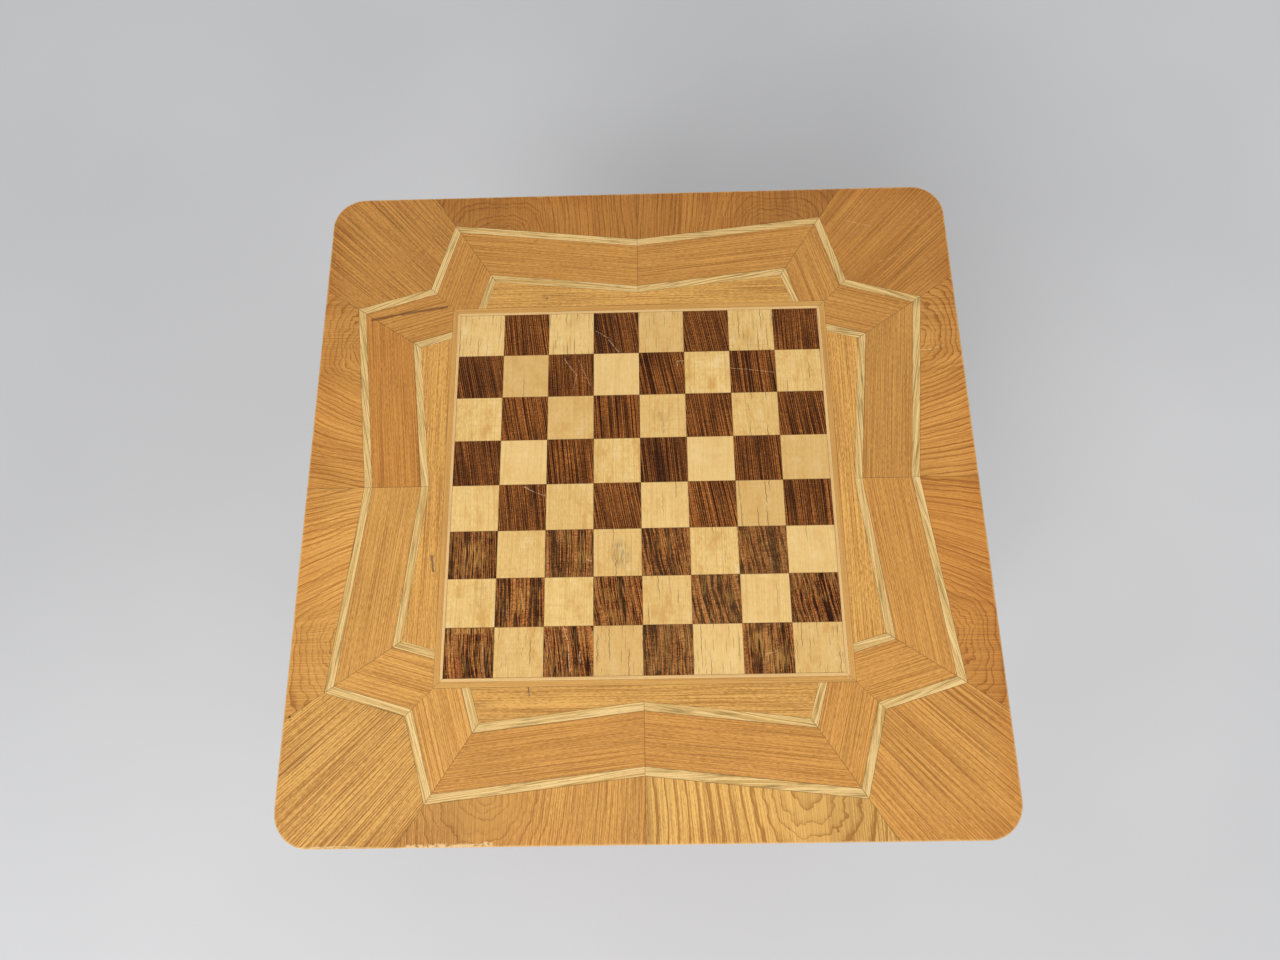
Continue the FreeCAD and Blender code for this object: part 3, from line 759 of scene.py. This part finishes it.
for name in (*SIDES, *CORNERS):
    material, net, place = new_material("border_veneer_" + name)
    plan = net.group("Plan", Place=place)
    if name in SIDES:
        crown_across, crown_out, length, lean, stretch, thread, spacing = CROWNS[name]
        past = net.minus(plan["Across"], crown_across)
        over = net.minus(plan["Out"], crown_out)
        lean = net.step(past, 10.0, -40.0, 0.0, -lean)
        lean = net.times(lean, net.step(past, -50.0, -130.0, 1.0, 0.35))
        u = net.line(over, lean, plan["Across"])
        past = net.line(over, lean, past)
        past = net.times(past, net.step(past, 0.0, 40.0, 1.0, stretch))
        drawn = net.over(past, CROWN_SPREAD)
        over = net.over(over, net.line(drawn, drawn, length))
        ring = net.vectors("LENGTH", net.vector(past, over, 0.0))
        piece = net.line(plan["Half"], 0.05, plan["Side"])
        figure = either_half(net, plan, *BORDER_FIGURE[name])
        shade = net.mix(plan["Half"], *[tone(*leaf) for leaf in BORDER_TONES[name]])
        # Painted sheen: along each side the colour is painted a little lighter between the middle
        # and the crown, and darker from the crown outwards and at the middle.
        painted_sheen = net.step(plan["Across"], 90.0, 165.0, 1.03, 0.88)
        painted_sheen = net.times(painted_sheen, net.step(plan["Across"], 0.0, 45.0, 0.91, 1.0))
        shade = net.mix(1.0, shade, painted_sheen, "MULTIPLY")
        spacing = either_half(net, plan, *spacing)
        sway = net.minus(net.patches(place, 12.0), 0.5)
        flame = net.minus(net.patches(place, 75.0), 0.5)
        flame = net.times(flame, net.step(ring, 60.0, 25.0, 2.0, 13.0))
        ring = net.plus(net.line(sway, 14.0, ring), flame)
        v = plan["Out"]
        bend = net.minus(ring, u)
        thread = net.step(ring, 20.0, 60.0, 0.5, thread)
        wander = 1.2
    else:
        narrowing = net.over(620.0, net.plus(plan["Reach"], 300.0))
        u = net.times(plan["Skew"], narrowing)
        v = plan["Reach"]
        bend = 0.0
        piece = plan["Corner"]
        figure, thread = BORDER_FIGURE[name]
        shade = tone(*BORDER_TONES[name])
        spacing, wander = CORNER_LEAF_LINES, 0.8
    open_pores = net.times(thread, 0.6)
    colour, height, rough = wood(
        net, u, v, VENEER, piece, bend=bend, spacing=spacing, wander=wander, short=0.25,
        figure=figure, thread=thread, open_pores=open_pores)
    colour = net.mix(1.0, colour, shade, "MULTIPLY")
    rim = net.group("Rim", Place=place)["Distance"]
    # Darker and redder within about 26 mm of the rim, in patches.
    cloud = net.patches(place, 14.0, 2.0)
    edge_patches = net.times(net.step(rim, 26.0, 2.0), net.step(cloud, 0.35, 0.6, 0.2, 0.8))
    colour = net.mix(edge_patches, colour, RIM_RED, "MULTIPLY")
    chipping = net.patches(place, 90.0, 4.0, 0.6)
    rubbed = net.step(net.line(chipping, -3.0, rim), 0.2, -0.9, 0.0, 0.6)
    colour = net.mix(rubbed, colour, RUBBED_COLOUR)
    ragged = net.patches(place, 420.0, 2.0)
    chipped = net.times(net.group("Border marks", Place=place)["Mask"], net.step(ragged, 0.4, 0.52))
    colour = net.mix(chipped, colour, CHIPPED_COLOUR)
    rubbed = net.larger(rubbed, chipped)
    colour = net.mix(net.group("Border pins", Place=place)["Mask"], colour, PIN_COLOUR)
    joints = [("StarIn", 0.0, 0.45, 0.45), ("Mitre", 0.0, 0.6, 0.35)]
    if name in SIDES:
        joints.append(("Across", 0.0, 0.4, 0.5))
    rough = net.line(rubbed, 0.15, rough)
    glued(net, colour, rough, height, seams(net, plan, *joints), 0.00006)
    dress(material, ("border_leaves_" if name in SIDES else "border_leaf_") + name)


# ---- Core, backing and lippings ----
# The top is a blockboard core with solid lippings tongued round it and mitred at the corners.
# The backing veneer on the underside keeps it flat and has only a thin coat of lacquer.
LIPPING_WOOD = ((190, 128, 66), (142, 88, 42), (96, 56, 26))
BACKING_WOOD = ((196, 140, 88), (150, 98, 56), (104, 66, 38))
CORE_WOOD = ((216, 180, 126), (184, 140, 88), (150, 108, 66))
LIPPING_PITH = (250.0, 660.0, 70.0)
CORE_STRIP = 25.0
BACKING_LEAF = 160.0
STRIP_GLUE = srgb(128, 92, 56)
BACKING_GLUE = srgb(96, 62, 36)


def round_pith(net, across, up, pith):
    """Across and along the growth rings, in mm, from the pith's place and usual distance."""
    from_pith = (net.minus(across, pith[0]), net.minus(up, pith[1]))
    u = net.vectors("LENGTH", net.vector(*from_pith, 0.0))
    return u, net.times(net.math("ARCTAN2", from_pith[1], from_pith[0]), pith[2])


for side_name in SIDES:
    material, net, place = new_material("lipping_" + side_name)
    plan = net.group("Plan", Place=place)
    height_mm = net.millimetres(place)[2]
    u, w = round_pith(net, plan["Out"], height_mm, LIPPING_PITH)
    colour, height, rough = wood(
        net, u, plan["Signed"], LIPPING_WOOD, plan["Side"], w=w, spacing=3.2, figure=0.7,
        thread=0.6, open_pores=0.6)
    rim = net.group("Rim", Place=place)["Distance"]
    bruise = net.patches(place, 70.0, 4.0, 0.6)
    arris = net.step(net.absolute(net.minus(height_mm, 700.0)), 1.6, 0.2)
    worn = net.times(arris, net.step(bruise, 0.45, 0.65, 0.0, 0.5))
    colour = net.mix(worn, colour, RUBBED_COLOUR)
    dents = net.line(bruise, 0.5, height)
    surface(net, colour, net.plus(rough, 0.12), dents, 0.00003, sheen=0.2)
    dress(material, "lipping_" + side_name)


def strips(net, along, width):
    """The number of a strip of one width, and the distance in mm to its nearer joint."""
    strip = net.over(along, width)
    joint = net.absolute(net.minus(net.math("FRACT", strip), 0.5))
    return net.math("FLOOR", strip), net.times(net.minus(0.5, joint), width)


material, net, place = new_material("backing_veneer")
x, y, z = net.millimetres(place)
leaf, joint = strips(net, y, BACKING_LEAF)
colour, height, rough = wood(
    net, y, x, BACKING_WOOD, leaf, spacing=6.0, wander=9.0, thread=0.6, open_pores=0.6)
colour = net.mix(seam(net, joint, 0.5, 0.6), colour, BACKING_GLUE)
surface(net, colour, net.plus(rough, 0.12), height, 0.00008, sheen=0.25)
dress(material, "backing_veneer")

material, net, place = new_material("blockboard_core")
x, y, z = net.millimetres(place)
strip, joint = strips(net, y, CORE_STRIP)
colour, height, rough = wood(net, y, x, CORE_WOOD, strip, w=z, figure=0.7, open_pores=0.1)
colour = net.mix(seam(net, joint, 0.5, 0.6), colour, STRIP_GLUE)
surface(net, colour, net.plus(rough, 0.3), height, 0.0001, sheen=0.2)
dress(material, "core_panel")


# ---- Legs ----
# Four square beech legs stained to match the top, tapered on their two inner faces below the
# rails, with eased corners. They are rubbed pale at the corners and scuffed near the floor.
LEG_WOOD = ((184, 122, 64), (132, 80, 38), (84, 48, 22))
LEG_PITH = (189.97, 281.97, 70.0)
LEG_OUT = 281.97
LEG_INNER = (255.97, 237.97)
TAPER_TOP = 607.4
FOOT_DIRT = srgb(88, 62, 44)

material, net, place = new_material("stained_legs")
x, y, z = net.millimetres(place)
plan = net.group("Plan", Place=place)
u, w = round_pith(net, net.absolute(x), net.absolute(y), LEG_PITH)
colour, height, rough = wood(
    net, u, z, LEG_WOOD, plan["Corner"], w=w, spacing=4.5, wander=2.5, thread=0.8, open_pores=0.7)
scuff = net.patches(place, (45.0, 45.0, 18.0), 4.0, 0.6)
low = net.step(z, 130.0, 0.0)
dirt = net.times(low, net.step(scuff, 0.42, 0.66, 0.0, 0.6))
colour = net.mix(dirt, colour, FOOT_DIRT)
inner = net.node("MapRange", {0: z, 1: 0.0, 2: TAPER_TOP, 3: LEG_INNER[0], 4: LEG_INNER[1]})[0]
from_faces = []
for side_place in (x, y):
    out = net.absolute(side_place)
    from_faces.append(net.smaller(net.minus(LEG_OUT, out), net.minus(out, inner)))
from_corner = net.larger(*from_faces)
worn = net.times(net.step(from_corner, 2.6, 0.6), net.step(scuff, 0.5, 0.7, 0.0, 0.5))
colour = net.mix(worn, colour, RUBBED_COLOUR)
rough = net.line(dirt, 0.25, rough)
surface(net, colour, rough, net.line(scuff, 0.4, height), 0.0001)
dress(material, *["leg_" + corner for corner in CORNERS])


# ---- Rails ----
# Four beech rails, 78 by 20 mm, haunched and mitred into the legs just behind their faces, with
# the lower edges rounded by hand. Same stain and lacquer as the legs.
RAIL_WOOD = ((186, 124, 66), (136, 84, 40), (88, 50, 24))
RAIL_CENTRE = 267.97
RAIL_PITH = (190.0, 570.0, 60.0)

for side_name in SIDES:
    material, net, place = new_material("stained_rail_" + side_name)
    plan = net.group("Plan", Place=place)
    height_mm = net.millimetres(place)[2]
    u, w = round_pith(net, plan["Out"], height_mm, RAIL_PITH)
    colour, height, rough = wood(
        net, u, plan["Signed"], RAIL_WOOD, plan["Side"], w=w, spacing=4.4, thread=0.8,
        open_pores=0.7)
    edge_patches = net.patches(place, 40.0, 4.0, 0.6)
    across = net.absolute(net.minus(plan["Out"], RAIL_CENTRE))
    arris = net.times(net.step(height_mm, 625.0, 622.0), net.step(across, 7.5, 9.5))
    worn = net.times(arris, net.step(edge_patches, 0.45, 0.65, 0.0, 0.4))
    colour = net.mix(worn, colour, RUBBED_COLOUR)
    surface(net, colour, rough, net.line(edge_patches, 0.4, height), 0.0001)
    dress(material, "rail_" + side_name)


# ---- Corner braces and top buttons ----
# Bare beech: a diagonal brace behind each leg, and turn buttons whose tongues sit in slots in
# the rails and hold the top down while it shrinks and swells. Sawn faces, never lacquered.
BARE_BEECH = ((216, 174, 124), (182, 134, 88), (132, 90, 56))
BRACE_PITH = (250.0, 655.0, 60.0)
BUTTON_PITH = (92.0, 640.0)

material, net, place = new_material("bare_braces")
plan = net.group("Plan", Place=place)
height_mm = net.millimetres(place)[2]
u, w = round_pith(net, plan["Reach"], height_mm, BRACE_PITH)
colour, height, rough = wood(
    net, u, plan["Skew"], BARE_BEECH, plan["Corner"], w=w, wander=4.0, figure=0.7, thread=0.6,
    open_pores=0.4)
sawn = net.times(net.math("SINE", net.times(plan["Skew"], 2.4)), 0.06)
surface(net, colour, net.plus(rough, 0.28), net.plus(height, sawn), 0.00015, sheen=0.2)
dress(material, *["corner_brace_" + corner for corner in CORNERS])

material, net, place = new_material("bare_buttons")
plan = net.group("Plan", Place=place)
height_mm = net.millimetres(place)[2]
half = net.line(plan["Half"], 5.0, plan["Side"])
from_pith = (net.minus(plan["Across"], BUTTON_PITH[0]), net.minus(height_mm, BUTTON_PITH[1]))
u = net.vectors("LENGTH", net.vector(*from_pith, 0.0))
colour, height, rough = wood(
    net, u, plan["Out"], BARE_BEECH, half, w=plan["Across"], spacing=3.0, wander=2.0, figure=0.7,
    thread=0.6, open_pores=0.4)
sawn = net.times(net.math("SINE", net.times(plan["Across"], 2.0)), 0.05)
surface(net, colour, net.plus(rough, 0.28), net.plus(height, sawn), 0.00015, sheen=0.2)
dress(material, "top_buttons")


# ---- Screws ----
# Slotted countersunk wood screws of zinc-plated steel with a rolled thread. Two hold each brace to
# its rails, in wells, and one holds each button up to the top.
SCREW_HEAD = 8.0
SCREW_SHANK = 4.0
SCREW_ROOT = 2.8
SCREW_POINT = 5.0
SCREW_SLOT = (1.1, 1.2)
SHANK_SHARE = 0.4
THREAD_PITCH = 1.8
THREAD_STEPS = 14
ZINC_COLOUR = srgb(176, 174, 168)
ZINC_TARNISH = srgb(122, 116, 104)
SLOT_TURN = 37.0
SCREW_PLACES = (  # node, length, place of the head on the front side, and how it is tipped
    ("brace_screws", 30.0, (205.73, -241.97, 676.4), (90.0, 0.0)),
    ("brace_screws", 30.0, (241.97, -205.73, 676.4), (0.0, 90.0)),
    ("button_screws", 34.0, (105.0, -240.97, 678.9), (0.0, 0.0)),
    ("button_screws", 34.0, (-105.0, -240.97, 678.9), (0.0, 0.0)),
)

material, net, place = new_material("zinc_screws")
brush = net.patches(place, (900.0, 900.0, 260.0), 3.0)
colour = net.mix(net.step(brush, 0.42, 0.68), ZINC_COLOUR, ZINC_TARNISH)
surface(net, colour, net.step(brush, 0.3, 0.7, 0.28, 0.5), brush, 0.00002, sheen=0.5, metal=1.0)
zinc = material


def activate(piece):
    bpy.ops.object.select_all(action="DESELECT")
    piece.select_set(True)
    bpy.context.view_layer.objects.active = piece


def face_outwards():
    bpy.ops.mesh.select_all(action="SELECT")
    bpy.ops.mesh.normals_make_consistent(inside=False)
    bpy.ops.object.mode_set(mode="OBJECT")


def turned_screw(length):
    """A screw with its head at the origin and its point up, made like the real one: the blank is
    turned, the slot is sawn and the thread is rolled on."""
    bpy.ops.object.select_all(action="DESELECT")
    bpy.ops.mesh.primitive_circle_add(vertices=24, radius=SCREW_HEAD / 2000, fill_type="NGON")
    blank = bpy.context.object
    bpy.ops.object.mode_set(mode="EDIT")
    bpy.ops.mesh.select_all(action="SELECT")
    countersink = (SCREW_HEAD - SCREW_SHANK) / 2
    shoulder = SHANK_SHARE * length
    profile = ((SCREW_HEAD, 0.0), (SCREW_SHANK, countersink), (SCREW_SHANK, shoulder),
               (SCREW_ROOT, shoulder + 1.0), (SCREW_ROOT, length - SCREW_POINT), (0.2, length))
    for (wide, start), (narrow, end) in zip(profile, profile[1:]):
        lift = {"value": (0.0, 0.0, (end - start) / 1000)}
        bpy.ops.mesh.extrude_region_move(TRANSFORM_OT_translate=lift)
        bpy.ops.transform.resize(value=(narrow / wide, narrow / wide, 1.0))
    face_outwards()

    slot_width, slot_depth = SCREW_SLOT
    bpy.ops.mesh.primitive_cube_add(size=0.001, scale=(2 * SCREW_HEAD, slot_width, 2 * slot_depth))
    saw = bpy.context.object
    activate(blank)
    cut = blank.modifiers.new("slot", "BOOLEAN")
    cut.operation, cut.object = "DIFFERENCE", saw
    bpy.ops.object.modifier_apply(modifier=cut.name)
    bpy.data.objects.remove(saw)
    ease = blank.modifiers.new("eased_edges", "BEVEL")
    ease.width, ease.segments, ease.angle_limit = 0.00012, 2, math.radians(40)
    bpy.ops.object.modifier_apply(modifier=ease.name)

    bpy.ops.object.select_all(action="DESELECT")
    crest = (SCREW_SHANK - SCREW_ROOT) / 2
    bpy.ops.mesh.primitive_circle_add(vertices=3, radius=crest / 1000, rotation=(math.pi / 2, 0, 0),
                                      location=(SCREW_ROOT / 2000, 0.0, (shoulder + 1.5) / 1000))
    thread = bpy.context.object
    bpy.ops.object.transform_apply()
    turns = round((length - SCREW_POINT - shoulder - 1.5) / THREAD_PITCH)
    roll = thread.modifiers.new("thread", "SCREW")
    roll.angle, roll.screw_offset = 2 * math.pi * turns, THREAD_PITCH * turns / 1000
    roll.steps = roll.render_steps = THREAD_STEPS * turns
    bpy.ops.object.modifier_apply(modifier=roll.name)
    bpy.ops.object.mode_set(mode="EDIT")
    bpy.ops.mesh.select_all(action="SELECT")
    bpy.ops.mesh.fill_holes(sides=3)
    face_outwards()
    blank.select_set(True)
    bpy.context.view_layer.objects.active = blank
    bpy.ops.object.join()
    bpy.ops.object.shade_smooth_by_angle(angle=math.radians(35))
    blank.data.materials.append(zinc)
    return blank


patterns = {length: turned_screw(length) for length in (30.0, 34.0)}
for node, length, (x, y, z), (tip_x, tip_y) in SCREW_PLACES:
    for quarter in range(4):
        piece = patterns[length].copy()
        piece.data = patterns[length].data.copy()
        count = len([made for made in bpy.data.objects if made.name.startswith(node + "_")])
        piece.name = f"{node}_{count + 1}"
        bpy.context.scene.collection.objects.link(piece)
        turn = Matrix.Rotation(math.radians(90 * quarter), 4, "Z")
        move = Matrix.Translation((x / 1000, y / 1000, z / 1000))
        tip = (Matrix.Rotation(math.radians(tip_x), 4, "X")
               @ Matrix.Rotation(math.radians(tip_y), 4, "Y"))
        driven = Matrix.Rotation(math.radians(SLOT_TURN * count), 4, "Z")
        piece.matrix_world = turn @ move @ tip @ driven
        activate(piece)
        bpy.ops.object.transform_apply()
        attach(piece, "root")
        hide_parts(node)
for pattern in patterns.values():
    bpy.data.objects.remove(pattern)


# ---- Glides ----
# A flat steel glide with a bevelled rim is nailed into the end grain of each foot. It is bright
# where it slides on the floor and dull with dirt round its rim.
STEEL_COLOUR = srgb(168, 166, 162)
STEEL_DIRT = srgb(92, 82, 72)

material, net, place = new_material("glide_steel")
brush = net.patches(place, (1600.0, 90.0, 400.0), 3.0)
height_mm = net.millimetres(place)[2]
dull = net.times(net.step(height_mm, 0.4, 3.5), net.step(brush, 0.35, 0.65, 0.4, 0.9))
colour = net.mix(dull, STEEL_COLOUR, STEEL_DIRT)
surface(net, colour, net.line(dull, 0.35, net.step(brush, 0.3, 0.7, 0.25, 0.4)),
        brush, 0.00003, sheen=0.5, metal=1.0)
dress(material, "glides")
